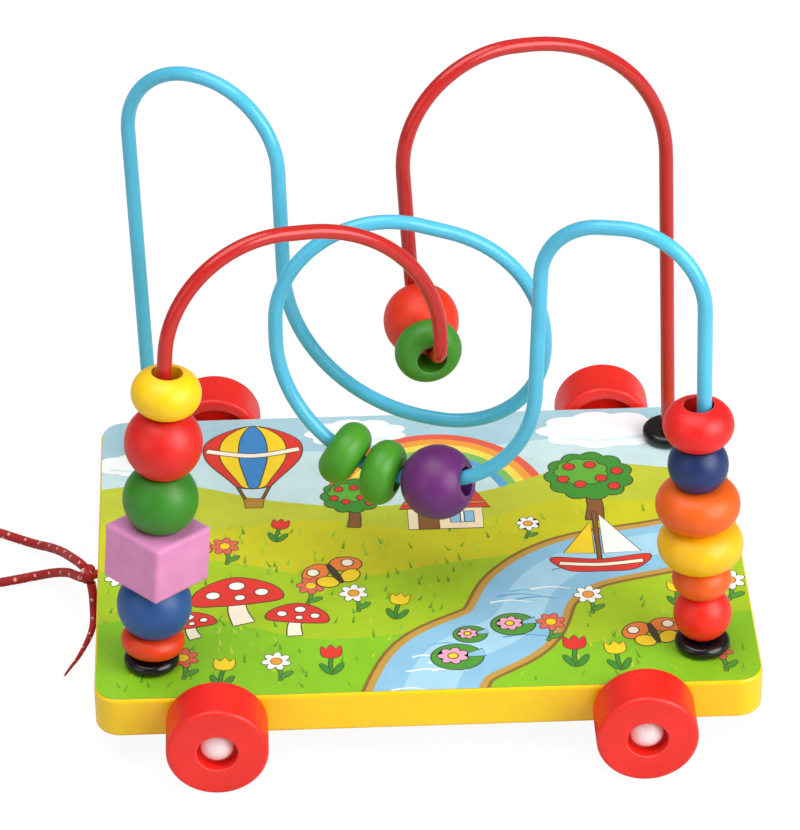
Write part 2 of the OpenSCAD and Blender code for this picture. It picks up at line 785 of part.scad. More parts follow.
// Flat band round the coil's turns, on the side away from the board
module coil_tie() {
  inner_r = coil_radius(coil_turns - tie_turn_share) - cord_d / 2 - tie_clear;
  outer_r = coil_radius(tie_turn_share) + cord_d / 2 + tie_clear;
  inner_h = coil_high_z + cord_d / 2 + tie_clear - tie_t;
  color("#F4EFE6")
    translate([coil_middle.x, coil_middle.y, 0])
      rotate([90, 0, 180])
        linear_extrude(height = tie_w, center = true)
          difference() {
            translate([inner_r - tie_t, 0])
              square([outer_r - inner_r + 2 * tie_t, inner_h + 2 * tie_t]);
            translate([inner_r, tie_t])
              square([outer_r - inner_r, inner_h]);
          }
}

base_board();
wire_sleeve(red_corners, red_bend_shares, "#D93A33");  // red_wire_sleeve
wire_core(red_corners, red_bend_shares);  // red_wire_core
wire_sleeve(blue_corners, blue_bend_shares, "#5BC6E6");  // blue_wire_sleeve
wire_core(blue_corners, blue_bend_shares);  // blue_wire_core
for (c = CORNERS) {
  end_cap(c);
  axle_peg(c);
  wheel(c);
}
for (k = [0 : len(LEFT_POST) - 1])
  post_bead(LEFT_POST, k, foot_front_left, post_axis(red_corners, false));
for (k = [0 : len(RIGHT_POST) - 1])
  post_bead(RIGHT_POST, k, foot_front_right, post_axis(blue_corners, true));
for (b = DIP_BEADS)
  dip_bead(b);
for (b = LOOP_BEADS)
  bend_bead(b, blue_corners, blue_bend_shares, loop_corner);
cord_knot();
pull_cord_back_strand();
pull_cord_front_strand();
pull_cord_coil();
coil_tie();
cord_tail();
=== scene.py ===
"""A bead maze on a wheeled board: its looks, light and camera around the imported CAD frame.

Lengths are metres. Points and sizes written in millimetres go through mm().
"""
import math
import random

import bpy
from mathutils import Matrix, Vector


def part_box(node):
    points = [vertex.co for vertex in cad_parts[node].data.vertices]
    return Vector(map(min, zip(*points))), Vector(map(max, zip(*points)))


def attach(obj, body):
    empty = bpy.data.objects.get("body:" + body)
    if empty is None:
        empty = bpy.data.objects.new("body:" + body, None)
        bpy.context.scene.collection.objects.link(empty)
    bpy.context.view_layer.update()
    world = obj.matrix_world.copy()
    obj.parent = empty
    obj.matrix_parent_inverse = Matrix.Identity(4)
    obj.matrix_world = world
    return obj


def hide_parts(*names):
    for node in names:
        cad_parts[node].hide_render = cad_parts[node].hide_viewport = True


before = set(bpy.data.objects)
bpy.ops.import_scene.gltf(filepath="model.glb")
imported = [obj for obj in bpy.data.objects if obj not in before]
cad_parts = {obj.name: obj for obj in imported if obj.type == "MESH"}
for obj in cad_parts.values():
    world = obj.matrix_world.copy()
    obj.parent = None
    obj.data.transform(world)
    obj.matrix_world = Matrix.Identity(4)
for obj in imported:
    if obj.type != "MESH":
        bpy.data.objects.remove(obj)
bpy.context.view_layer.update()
ROOT = "maze_frame"


def mm(*values):
    """Millimetres as metres: one number, or a point."""
    return values[0] * 0.001 if len(values) == 1 else Vector(v * 0.001 for v in values)


def linear(colour):
    """A #rrggbb sRGB colour as linear RGBA."""
    parts = [int(colour[k:k + 2], 16) / 255 for k in (1, 3, 5)]
    return [p / 12.92 if p <= 0.04045 else ((p + 0.055) / 1.055) ** 2.4 for p in parts] + [1.0]


# Camera: the photograph's place, direction and lens, found from the board's corners and the wheels.
CAMERA_PLACE = mm(-39.43, -993.60, 735.20)
CAMERA_LENS = 189.4    # mm of focal length, on a sensor 36 mm wide
YAW, PITCH, ROLL = (math.radians(angle) for angle in (1.983, 33.956, -0.607))
ahead = Vector((math.sin(YAW) * math.cos(PITCH), math.cos(YAW) * math.cos(PITCH), -math.sin(PITCH)))
level = Vector((math.cos(YAW), -math.sin(YAW), 0))
right = Matrix.Rotation(-ROLL, 3, ahead) @ level
camera_data = bpy.data.cameras.new("camera")
camera_data.lens = CAMERA_LENS
camera_data.clip_start = 0.05
camera = bpy.data.objects.new("camera", camera_data)
camera.matrix_world = Matrix((right, right.cross(ahead), -ahead)).transposed().to_4x4()
camera.location = CAMERA_PLACE
bpy.context.collection.objects.link(camera)
bpy.context.scene.camera = camera


def smooth(points, steps, closed=False):
    """Points along the smooth curve through the given ones (Catmull-Rom), steps to each span."""
    count = len(points)
    line = []
    for k in range(count if closed else count - 1):
        places = (k - 1, k, k + 1, k + 2)
        near = [points[j % count] if closed else points[min(max(j, 0), count - 1)] for j in places]
        for step in range(steps):
            t = step / steps
            weights = (-t + 2 * t**2 - t**3, 2 - 5 * t**2 + 3 * t**3, t + 4 * t**2 - 3 * t**3, t**3 - t**2)
            line.append(sum((w * p for w, p in zip(weights, near)), 0 * points[0]) / 2)
    return line if closed else line + [points[-1]]


def even(line, gap):
    """The same line with its points an even gap apart, and its last point kept."""
    kept, spare = [line[0]], 0.0
    for a, b in zip(line, line[1:]):
        span = (b - a).length
        along = gap - spare
        while along < span:
            kept.append(a.lerp(b, along / span))
            along += gap
        spare = (spare + span) % gap
    return kept + [line[-1]]


def mesh_piece(name, points, faces, body=ROOT):
    """A smooth-shaded mesh object that rides on a body."""
    mesh = bpy.data.meshes.new(name)
    mesh.from_pydata([tuple(p) for p in points], [], faces)
    mesh.shade_smooth()
    piece = bpy.data.objects.new(name, mesh)
    bpy.context.collection.objects.link(piece)
    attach(piece, body)
    return piece


CORD_D = mm(2.7)
BRAID_STRANDS = 4      # strands laid each way round
BRAID_STEP = mm(1.6)   # along the cord, from one strand to the next
BRAID_RELIEF = 0.07    # height of a strand, as a share of the cord's radius
PALE_EVERY = 4         # one strand in so many is pale
PALE_HALF_LONG = 0.36  # half a pale fleck's length, as a share of the step
PALE_HALF_WIDE = 0.3   # and half its width


def braid(name, line, width=lambda share: 1.0, sides=20):
    """A round braided cord on a line: two sets of strands over and under each other, some of them pale."""
    points, faces, flecks = [], [], []
    up = Vector((0.1, 0.2, 1)).normalized()    # any direction that no line starts along
    travelled = 0.0
    for k, here in enumerate(line):
        ahead = (line[min(k + 1, len(line) - 1)] - line[max(k - 1, 0)]).normalized()
        up = (up - up.dot(ahead) * ahead).normalized()
        across = ahead.cross(up)
        travelled += (here - line[max(k - 1, 0)]).length
        for side in range(sides):
            turn = side / sides
            lay_a = BRAID_STRANDS * turn + travelled / BRAID_STEP
            lay_b = BRAID_STRANDS * turn - travelled / BRAID_STEP
            a_on_top = (math.floor(lay_a) + math.floor(lay_b)) % 2 == 0
            crown = abs(math.sin(math.pi * (lay_a if a_on_top else lay_b)))
            radius = CORD_D / 2 * width(k / (len(line) - 1)) * (1 - BRAID_RELIEF + BRAID_RELIEF * crown)
            angle = 2 * math.pi * turn
            points.append(here + radius * (math.cos(angle) * up + math.sin(angle) * across))
            middle = abs(lay_a % 1 - 0.5) < PALE_HALF_WIDE and abs(lay_b % 1 - 0.5) < PALE_HALF_LONG
            pale = a_on_top and math.floor(lay_a) % PALE_EVERY == 0 and middle
            flecks.append(1.0 if pale else 0.0)
        if k:
            ring = k * sides
            for side in range(sides):
                after = (side + 1) % sides
                faces.append((ring - sides + side, ring - sides + after, ring + after, ring + side))
    faces.append(tuple(range(sides - 1, -1, -1)))
    faces.append(tuple(range(len(points) - sides, len(points))))
    piece = mesh_piece(name, points, faces)
    piece.data.attributes.new("fleck", "FLOAT", "POINT").data.foreach_set("value", flecks)
    return piece


# Pull cord: a knot at the board's end, a loop whose unseen length is coiled, and a short tail.
# The routes are those of the CAD.
EXIT = mm(-90, 0, 15.1)
SEAT = mm(10, 0, 0)    # from the exit to the glued end inside the board
KNOT = mm(-93, 0, 15.1)
KNOT_SIZE = mm(0.56)
KNOT_DEPTH = 1.6       # how far the knot reaches along x to each side, in sizes
KNOT_STEPS = 40
KNOT_WIDTH = 0.94      # of the cord's own, drawn tight
TAIL_THINS = 0.78      # share of its width that the tail loses by its frayed tip
LOOP_GAP = mm(0.35)    # from one ring of the cord's mesh to the next
SHORT_GAP = mm(0.3)
BACK_STRAND = [
    mm(-94, 1.6, 16.4), mm(-95.8, 5, 15.8), mm(-98, 10.4, 13.6), mm(-100, 16, 11), mm(-102.5, 21.5, 8.4),
    mm(-105.5, 27, 5.6), mm(-109, 31.5, 3.4), mm(-113.5, 35.5, 2.3), mm(-119, 39, 2.15),
    mm(-125.5, 42.5, 2.15), mm(-132.5, 45, 2.15), mm(-139, 46, 2.15), mm(-142, 46, 2.15),
]
FRONT_STRAND = [
    mm(-94.8, 0.5, 13.6), mm(-96.4, 3.4, 12.2), mm(-98.6, 7.6, 10.2), mm(-101, 11.6, 7.6), mm(-104, 15, 5),
    mm(-108, 17.4, 2.6), mm(-113.5, 17, 1.8), mm(-120, 14.8, 2.2), mm(-127, 12, 3.4), mm(-134, 10.3, 4.8),
    mm(-139, 10, 5.3), mm(-142, 10, 5.3),
]
TAIL = [
    mm(-92.2, -1.4, 13), mm(-91.9, -1.8, 9.4), mm(-91.9, -2.4, 5.4), mm(-92, -4.6, 2.4), mm(-92.6, -9, 1.6),
    mm(-94, -14.5, 1.5), mm(-96, -20.5, 1.5), mm(-98, -25, 1.5), mm(-99.6, -28.6, 1.5),
]
COIL_TURNS = 5.5
COIL_STEPS = 24        # points to a turn
COIL_X, COIL_Y = -146, 28
COIL_RADIUS = 18       # of the outer turns
COIL_GAP = 3.15        # from one turn's line to the next one's, sideways and in height
COIL_REST = 2.15       # height of the lower layer's line
CLIMB_FROM = 2.5       # turns before the line climbs to the upper layer
CLIMB_TURNS = 0.5


def coil_point(turn):
    """The coil's line: in to its middle on the floor, up one cord's width, and out again on top."""
    half = COIL_TURNS / 2
    radius = COIL_RADIUS - COIL_GAP * (half - abs(turn - half))
    climb = min(max((turn - CLIMB_FROM) / CLIMB_TURNS, 0), 1)
    angle = 2 * math.pi * turn
    height = COIL_REST + COIL_GAP * climb**2 * (3 - 2 * climb)
    return mm(COIL_X - radius * math.sin(angle), COIL_Y + radius * math.cos(angle), height)


def knot_point(t):
    """A trefoil, which is the way of an overhand knot drawn tight."""
    across = math.sin(t) + 2 * math.sin(2 * t)
    upward = math.cos(t) - 2 * math.cos(2 * t)
    return KNOT + KNOT_SIZE * Vector((-KNOT_DEPTH * math.sin(3 * t), across, upward))


coil = [coil_point(k / COIL_STEPS) for k in range(int(COIL_TURNS * COIL_STEPS) + 1)]
loop_line = even(smooth(BACK_STRAND + coil + FRONT_STRAND[::-1], 6), LOOP_GAP)
tail_line = even(smooth(TAIL, 12), SHORT_GAP)
turns = [knot_point(2 * math.pi * k / KNOT_STEPS) for k in range(KNOT_STEPS)]
knot_line = even(smooth([EXIT + SEAT, EXIT] + turns + [KNOT], 4), SHORT_GAP)

pull_loop = braid("pull_cord_loop", loop_line)
pull_tail = braid("pull_cord_tail", tail_line, width=lambda share: 1 - TAIL_THINS * share**1.1)
pull_knot = braid("pull_cord_knot", knot_line, width=lambda share: KNOT_WIDTH)
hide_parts("pull_cord_back_strand", "pull_cord_coil", "pull_cord_front_strand")
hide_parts("cord_tail")
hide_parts("cord_knot")


TIE_PAPER = mm(0.2)
TIE_TURNS = 1.2        # once round, and the lap
TIE_START = 0.9        # radians round from +x to the paper's first edge
TIE_SQUARE = 0.35      # 1 is an ellipse, and less is squarer
TIE_STEPS = 56


def tie_band():
    """The paper band round the coil: once round its cords and lapped over on top."""
    low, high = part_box("coil_tie")
    middle = (low + high) / 2
    half_x = (high.x - low.x) / 2 - TIE_PAPER
    half_z = (high.z - low.z) / 2 - TIE_PAPER
    points, faces = [], []
    for k in range(TIE_STEPS + 1):
        angle = 2 * math.pi * TIE_TURNS * k / TIE_STEPS + TIE_START
        lapped = TIE_PAPER if k > TIE_STEPS / TIE_TURNS else 0
        x, z = (math.copysign(abs(c) ** TIE_SQUARE, c) for c in (math.cos(angle), math.sin(angle)))
        out = Vector((x / half_x, 0, z / half_z)).normalized() * TIE_PAPER
        here = middle + Vector((x * (half_x - lapped), 0, z * (half_z - lapped)))
        for wide in (-1, 1):
            edge = Vector((0, wide * (high.y - low.y) / 2, 0))
            points += [here + edge, here + edge + out]
        if k:
            a = 4 * (k - 1)
            faces += [(a + i, a + j, a + j + 4, a + i + 4) for i, j in ((0, 1), (1, 3), (3, 2), (2, 0))]
    last = 4 * TIE_STEPS
    faces += [(0, 1, 3, 2), (last, last + 2, last + 3, last + 1)]
    return mesh_piece("coil_tie_band", points, faces)


tie = tie_band()
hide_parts("coil_tie")

# The loop leaves the knot and comes back to it; the tail ends bare, drawn out thin.
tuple(loop_line[0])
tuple(tail_line[0])


# Top print: flat shapes of ink in thin layers on the board's top.
# Its places are in millimetres from the board's middle, with x to the right and y to the back.
board_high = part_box("base_board")[1]
PRINT_RIM = 0.5        # the rim of the board that the print leaves in its own paint
PRINT_CORNER = 6.5     # radius of the print's corners
CORNER_STEPS = 8
INK_LAYER = mm(0.005)  # from one layer of ink to the next
LOWEST_INK = 2         # layers from the board's paint to the first ink
ink_shapes = []


def flat(*pairs):
    """Pairs of numbers as points of the print."""
    return [Vector(pair) for pair in pairs]


def disc(x, y, rx, ry=None, turn=0, waves=0, depth=0.0, steps=40):
    """An ellipse, or a scalloped one, as an outline."""
    ry = rx if ry is None else ry
    c, s = math.cos(math.radians(turn)), math.sin(math.radians(turn))
    outline = []
    for k in range(steps):
        angle = 2 * math.pi * k / steps
        swell = 1 + depth * abs(math.sin(waves * angle / 2)) if waves else 1
        px, py = rx * swell * math.cos(angle), ry * swell * math.sin(angle)
        outline.append(Vector((x + c * px - s * py, y + s * px + c * py)))
    return outline


def ribbon(points, width, end_width=None, steps=8):
    """A band of that width along a smooth line, as an outline."""
    line = smooth(points, steps)
    end_width = width if end_width is None else end_width
    one, other = [], []
    for k, here in enumerate(line):
        ahead = (line[min(k + 1, len(line) - 1)] - line[max(k - 1, 0)]).normalized()
        half = (width + (end_width - width) * k / (len(line) - 1)) / 2
        one.append(here + half * Vector((ahead.y, -ahead.x)))
        other.append(here - half * Vector((ahead.y, -ahead.x)))
    return one + other[::-1]


def area(outline):
    """The area inside an outline: positive where it runs anticlockwise."""
    return sum(a.x * b.y - b.x * a.y for a, b in zip(outline, outline[1:] + outline[:1])) / 2


def grown(outline, width):
    """The outline moved out by a width."""
    count = len(outline)
    sign = 1 if area(outline) > 0 else -1
    wider = []
    for k, here in enumerate(outline):
        along = outline[(k + 1) % count] - outline[k - 1]
        out = Vector((along.y, -along.x)).normalized() if along.length else Vector((0, 0))
        wider.append(here + width * sign * out)
    return wider


def clipped(outline, border):
    """The part of an outline that is inside a convex border."""
    for a, b in zip(border, border[1:] + border[:1]):
        kept = []
        sides = [(b - a).cross(p - a) for p in outline]
        for k, here in enumerate(outline):
            kept += [here] if sides[k] >= 0 else []
            after = (k + 1) % len(outline)
            if sides[k] * sides[after] < 0:
                kept.append(here.lerp(outline[after], sides[k] / (sides[k] - sides[after])))
        outline = kept
        if not outline:
            return []
    return outline


def board_border():
    """The outline that the print fills: the board's, less a narrow rim."""
    reach_x = board_high.x * 1000 - PRINT_RIM - PRINT_CORNER
    reach_y = board_high.y * 1000 - PRINT_RIM - PRINT_CORNER
    border = []
    for corner, (sx, sy) in enumerate(((1, 1), (-1, 1), (-1, -1), (1, -1))):
        for k in range(CORNER_STEPS + 1):
            angle = math.radians(90 * (corner + k / CORNER_STEPS))
            bend = PRINT_CORNER * Vector((math.cos(angle), math.sin(angle)))
            border.append(Vector((sx * reach_x, sy * reach_y)) + bend)
    return border


BORDER = board_border()


def ink(layer, colour, outline):
    """One printed shape, cut off at the board's edge."""
    outline = clipped(outline if area(outline) > 0 else outline[::-1], BORDER)
    if len(outline) > 2:
        ink_shapes.append((layer, colour, outline))


# Inks that more than one motif uses.
INK_DARK = "#4a3b2a"
INK_BROWN = "#8a5a2b"
INK_STRAW = "#b5832b"
INK_CREAM = "#fdf3d8"
INK_WHITE = "#fffdf4"
INK_RED = "#e2372b"
INK_ORANGE = "#f2813a"
INK_GOLD = "#f3a23c"
INK_YELLOW = "#f9d423"
INK_LEAF = "#3f8f2c"
INK_STALK = "#4f9a35"
INK_WATER = "#8fc4e0"

MOTIF_LAYER = 14       # a motif's first layer, above all the land
MOTIF_LINE = 0.35      # width of the dark line round its shapes
FLOWER_LAYER = 13
FLOWER_LINE = 0.22
FLOWER_LEAN = 10       # degrees to either side
FRONT_EDGE = flat((100, -80), (-100, -80))    # beyond the board, whose border cuts it off


def stamp(motif, x, y, size, turn=0, first=MOTIF_LAYER, line=MOTIF_LINE):
    """Prints a motif, given in shares of its size, with a thin dark line round its shapes."""
    c, s = math.cos(math.radians(turn)) * size, math.sin(math.radians(turn)) * size
    for k, (colour, outline) in enumerate(motif):
        placed = [Vector((x + c * p.x - s * p.y, y + s * p.x + c * p.y)) for p in outline]
        if line:
            ink(first + 2 * k, INK_DARK, grown(placed, line))
        ink(first + 2 * k + 1, colour, placed)


def land(colour, layer, *back):
    """A field from a smooth back edge to the front of the board."""
    ink(layer, colour, smooth(flat(*back), 10) + FRONT_EDGE)


FRUIT_TREE = [
    (INK_BROWN, ribbon(flat((0, 0), (0.02, 0.22), (-0.01, 0.46)), 0.15, 0.09)),
    (INK_LEAF, disc(0, 0.64, 0.33, 0.31, waves=11, depth=0.13, steps=88)),
    ("#63ad35", disc(-0.06, 0.7, 0.2, 0.17, waves=9, depth=0.14, steps=72)),
] + [(INK_RED, disc(px, py, 0.045)) for px, py in (
    (-0.22, 0.6), (-0.08, 0.52), (0.1, 0.6), (0.24, 0.7), (0.02, 0.8), (-0.16, 0.78), (0.2, 0.48))]


def gore(shoulder, *halves):
    """A panel of the balloon, from its half widths at the shoulder's height and at three lower ones."""
    edge = list(zip(halves, (shoulder, 0.56, 0.26, 0.14)))
    mirrored = [(-half, height) for half, height in edge]
    return smooth(flat((0, 1.0), *mirrored, *edge[::-1]), 6, closed=True)


BALLOON = [
    (INK_STRAW, flat((-0.08, -0.02), (0.08, -0.02), (0.065, -0.14), (-0.065, -0.14))),
    (INK_BROWN, ribbon(flat((-0.13, 0.16), (-0.07, -0.02)), 0.012)),
    (INK_BROWN, ribbon(flat((0.13, 0.16), (0.07, -0.02)), 0.012)),
    (INK_RED, gore(0.82, 0.34, 0.38, 0.2, 0.1)),
    (INK_YELLOW, gore(0.84, 0.22, 0.26, 0.14, 0.07)),
    ("#3d86c6", gore(0.84, 0.09, 0.11, 0.06, 0.03)),
    (INK_CREAM, ribbon(flat((-0.37, 0.66), (0, 0.58), (0.37, 0.66)), 0.05)),
]

HULL = flat((-0.5, 0.12), (0, 0.07), (0.52, 0.14), (0.36, -0.1), (0, -0.13), (-0.34, -0.1))
BOAT = [
    (INK_RED, smooth(HULL, 5, closed=True)),
    (INK_CREAM, ribbon(flat((-0.42, 0.02), (0, -0.02), (0.44, 0.03)), 0.05)),
    (INK_BROWN, ribbon(flat((0, 0.08), (0, 0.5), (0, 0.92)), 0.035)),
    (INK_WHITE, flat((0.05, 0.18), (0.43, 0.2), (0.05, 0.86))),
    (INK_YELLOW, flat((-0.05, 0.18), (-0.05, 0.74), (-0.36, 0.2))),
]

COTTAGE = [
    ("#fbe6bd", flat((-0.42, 0), (0.42, 0), (0.42, 0.42), (-0.42, 0.42))),
    (INK_STRAW, flat((0.18, 0.62), (0.3, 0.62), (0.3, 0.88), (0.18, 0.88))),
    ("#d8452e", flat((-0.52, 0.4), (0.52, 0.4), (0.34, 0.76), (-0.34, 0.76))),
    ("#ef7c3b", ribbon(flat((-0.46, 0.5), (0, 0.5), (0.46, 0.5)), 0.035)),
    (INK_BROWN, flat((-0.3, 0), (-0.08, 0), (-0.08, 0.3), (-0.3, 0.3))),
    (INK_WATER, flat((0.06, 0.12), (0.32, 0.12), (0.32, 0.32), (0.06, 0.32))),
    (INK_WHITE, ribbon(flat((0.19, 0.12), (0.19, 0.32)), 0.03)),
]

CAP = flat((-0.5, 0.42), (-0.4, 0.68), (0, 0.86), (0.4, 0.68), (0.5, 0.42), (0.2, 0.36), (-0.2, 0.36))
TOADSTOOL = [
    (INK_CREAM, ribbon(flat((0.02, 0), (-0.02, 0.24), (0, 0.5)), 0.24, 0.16)),
    (INK_RED, smooth(CAP, 6, closed=True)),
] + [(INK_WHITE, disc(px, py, pr, 0.8 * pr)) for px, py, pr in (
    (-0.26, 0.56, 0.075), (0.02, 0.7, 0.085), (0.28, 0.55, 0.07), (0.03, 0.48, 0.055))]

BUTTERFLY = [
    (INK_ORANGE, disc(-0.27, 0.16, 0.26, 0.19, 28)),
    (INK_ORANGE, disc(0.27, 0.16, 0.26, 0.19, -28)),
    (INK_YELLOW, disc(-0.2, -0.16, 0.18, 0.14, -32)),
    (INK_YELLOW, disc(0.2, -0.16, 0.18, 0.14, 32)),
    (INK_CREAM, disc(-0.31, 0.18, 0.09)),
    (INK_CREAM, disc(0.31, 0.18, 0.09)),
    (INK_DARK, disc(0, 0, 0.045, 0.28)),
]

CLOUD = [
    ("#fdfefe", disc(0, 0, 0.5, 0.24, waves=9, depth=0.16, steps=90)),
    ("#e3eff2", ribbon(flat((-0.36, -0.1), (0, -0.16), (0.36, -0.1)), 0.05)),
]

LILY = [
    (INK_STALK, disc(0, 0, 0.5, 0.4)),
    (INK_WATER, flat((0, 0), (0.56, 0.02), (0.5, 0.24))),
    ("#f3a9c4", disc(-0.08, 0.04, 0.2, 0.17, waves=7, depth=0.5, steps=70)),
    (INK_YELLOW, disc(-0.08, 0.04, 0.09, 0.08)),
]


def daisy(petals, heart):
    """A flower of seven petals on a stalk with one leaf."""
    return [
        (INK_STALK, ribbon(flat((0, 0), (0.05, 0.3), (0, 0.62)), 0.07)),
        (INK_STALK, disc(0.17, 0.2, 0.17, 0.07, 35)),
        (petals, disc(0, 0.72, 0.19, 0.19, waves=7, depth=0.75, steps=84)),
        (heart, disc(0, 0.72, 0.12)),
    ]


CUP = flat(
    (0, 0.56), (0.2, 0.66), (0.2, 0.96), (0.1, 0.86), (0, 1.0), (-0.1, 0.86), (-0.2, 0.96), (-0.2, 0.66))


def tulip(cup):
    """A tulip on a stalk with two leaves."""
    return [
        (INK_LEAF, ribbon(flat((0, 0), (-0.03, 0.3), (0, 0.6)), 0.07)),
        (INK_LEAF, disc(-0.14, 0.2, 0.2, 0.065, 118)),
        (INK_LEAF, disc(0.14, 0.2, 0.2, 0.065, 62)),
        (cup, smooth(CUP, 4, closed=True)),
    ]


RAINBOW_X, RAINBOW_Y = 6, 20
RAINBOW_WIDE, RAINBOW_HIGH = 31, 34    # half the width, and the height, of its outer band
RAINBOW_BAND = 2.6
RAINBOW_INKS = ("#e8604c", INK_GOLD, "#f7de55", "#7fc064", "#5aa5d3")


def rainbow_band(number):
    """One band of the rainbow, counted from the outside."""
    wide = RAINBOW_WIDE - RAINBOW_BAND * number
    high = RAINBOW_HIGH - RAINBOW_BAND * number
    arc = []
    for degrees in range(0, 181, 15):
        angle = math.radians(degrees)
        arc.append(Vector((RAINBOW_X + wide * math.cos(angle), RAINBOW_Y + high * math.sin(angle))))
    return ribbon(arc, RAINBOW_BAND)


# The land, back to front: sky, far haze, rainbow, four fields, and the river with its banks.
RIVER = flat((98, 6), (70, -3), (44, -10), (30, -22), (22, -40), (4, -54), (-4, -76))
GLINT = Vector((1.5, 2))              # from the river's line to its paler stream
ink(0, "#a9cfda", disc(0, 0, 200, 200))
land("#c9e2e2", 1, (-100, 44), (-50, 50), (0, 46), (50, 52), (100, 48))
for number, colour in enumerate(RAINBOW_INKS):
    ink(2, colour, rainbow_band(number))
land("#c0c834", 3, (-100, 30), (-70, 34), (-40, 24), (-10, 20), (20, 26), (50, 38), (80, 34), (100, 38))
land("#cdca18", 4, (-100, 16), (-66, 10), (-30, 14), (6, 8), (40, 20), (76, 18), (100, 24))
land("#a6c81a", 5, (-100, -10), (-60, -4), (-24, -14), (10, -8), (44, -2), (70, 8), (100, 10))
land("#88c41c", 6, (-100, -34), (-64, -30), (-30, -42), (6, -40), (40, -48), (70, -38), (100, -34))
ink(7, "#8f6a2c", ribbon(RIVER, 24, 34))
ink(8, "#c79a45", ribbon(RIVER, 22, 32))
ink(9, INK_WATER, ribbon(RIVER, 18.5, 28))
ink(10, "#a9d6ea", ribbon([p + GLINT for p in RIVER], 9, 14))

# Ripples and blades of grass, strewn by a seeded dice. Each has a height of its own inside its layer.
RIPPLES, RIPPLES_TO_LAYER = 26, 30
BLADES, BLADES_TO_LAYER = 420, 500
BANK = 17              # from the river's line to the nearest blade
RIPPLE_INKS = ("#f4fafc", "#5d9fca", "#74b4d8")
BLADE_INKS = ("#6fa51e", "#c6cf3a", "#5d9a26", "#a8c832", "#8fbe2a")
dice = random.Random(11)
river_line = smooth(RIVER, 8)
for ripple in range(RIPPLES):
    spot = dice.choice(river_line) + Vector((dice.uniform(-7, 7), dice.uniform(-6, 6)))
    long = dice.uniform(3, 7)
    wave = flat((spot.x - long, spot.y), (spot.x, spot.y + 0.9), (spot.x + long, spot.y - 0.2))
    ink(11 + ripple / RIPPLES_TO_LAYER, dice.choice(RIPPLE_INKS), ribbon(wave, 0.7, 0.3))
for blade in range(BLADES):
    spot = Vector((dice.uniform(-88, 88), dice.uniform(-64, 14)))
    if min((spot - p).length for p in river_line) > BANK:
        lean, tall = dice.uniform(-1.4, 1.4), dice.uniform(2, 4.6)
        spike = flat((spot.x - 0.45, spot.y), (spot.x + 0.45, spot.y), (spot.x + lean, spot.y + tall))
        ink(12 + blade / BLADES_TO_LAYER, dice.choice(BLADE_INKS), spike)

# Motifs on the land: x, y, size and turn.
for px, py, size in ((-16, 57, 26), (56, 55, 34), (-80, 44, 20)):
    stamp(CLOUD, px, py, size, line=0)
PICTURES = (
    (BALLOON, -46, 26, 36, 0),
    (COTTAGE, 8, 8, 25, 0),
    (FRUIT_TREE, 50, 10, 34, 0),
    (FRUIT_TREE, -18, 10, 24, 0),
    (BOAT, 50, -11, 27, 0),
    (LILY, 24, -38, 12, 0),
    (LILY, 8, -52, 14, 0),
    (LILY, 12, -42, 9, 0),
    (TOADSTOOL, -50, -34, 25, 6),
    (TOADSTOOL, -36, -40, 17, -8),
    (TOADSTOOL, -63, -40, 14, 10),
    (BUTTERFLY, -24, -12, 17, 24),
    (BUTTERFLY, -66, 2, 15, -20),
    (BUTTERFLY, 62, -44, 16, 14),
)
for picture in PICTURES:
    stamp(*picture)
FLOWERS = (
    (daisy(INK_WHITE, INK_GOLD),
     ((-82, -20, 13), (-40, -60, 12), (-18, -30, 12), (46, -34, 12), (84, -30, 13), (30, 2, 10))),
    (tulip(INK_RED), ((-74, -26, 14), (-26, -58, 13), (40, -58, 14), (78, -20, 13), (-40, 4, 11))),
    (tulip(INK_YELLOW), ((-56, -62, 13), (-8, -34, 12), (52, -60, 13), (70, -32, 12), (-80, 10, 11))),
    (daisy("#ea6a55", INK_YELLOW),
     ((-66, -58, 13), (-32, -26, 12), (33, -46, 12), (80, -62, 13), (-54, -6, 12))),
)
for motif, places in FLOWERS:
    for px, py, size in places:
        lean = dice.uniform(-FLOWER_LEAN, FLOWER_LEAN)
        stamp(motif, px, py, size, lean, first=FLOWER_LAYER, line=FLOWER_LINE)


def print_piece():
    """All the printed shapes as one mesh, each with its ink's colour on its corners."""
    points, faces, colours = [], [], []
    for layer, colour, outline in ink_shapes:
        height = board_high.z + (layer + LOWEST_INK) * INK_LAYER
        faces.append(tuple(range(len(points), len(points) + len(outline))))
        points += [(mm(p.x), mm(p.y), height) for p in outline]
        colours += linear(colour) * len(outline)
    piece = mesh_piece("top_print", points, faces)
    piece.data.shade_flat()
    piece.data.color_attributes.new("ink", "FLOAT_COLOR", "CORNER").data.foreach_set("color", colours)
    return piece


top_print = print_piece()

# A colour Mix node's sockets, by number because their names repeat: factor, two colours, result.
FACTOR, ONE, OTHER, MIXED = 0, 6, 7, 2


def add(tree, kind, values=None, **settings):
    """Adds a shader node. settings are its properties, and values its inputs: constants, or outputs to link."""
    node = tree.nodes.new("ShaderNode" + kind)
    for key, value in settings.items():
        setattr(node, key, value)
    for key, value in (values or {}).items():
        if isinstance(value, bpy.types.NodeSocket):
            tree.links.new(value, node.inputs[key])
        else:
            node.inputs[key].default_value = value
    return node


def per_metre(size):
    """A texture's scale for features of that size in millimetres."""
    return 1 / mm(size)


CHIP_SIZE = 1.6                   # mm, of the finish's small scuffs and changes of gloss
RUBBED = linear("#fff7ed")        # the pale ground that shows through a worn edge


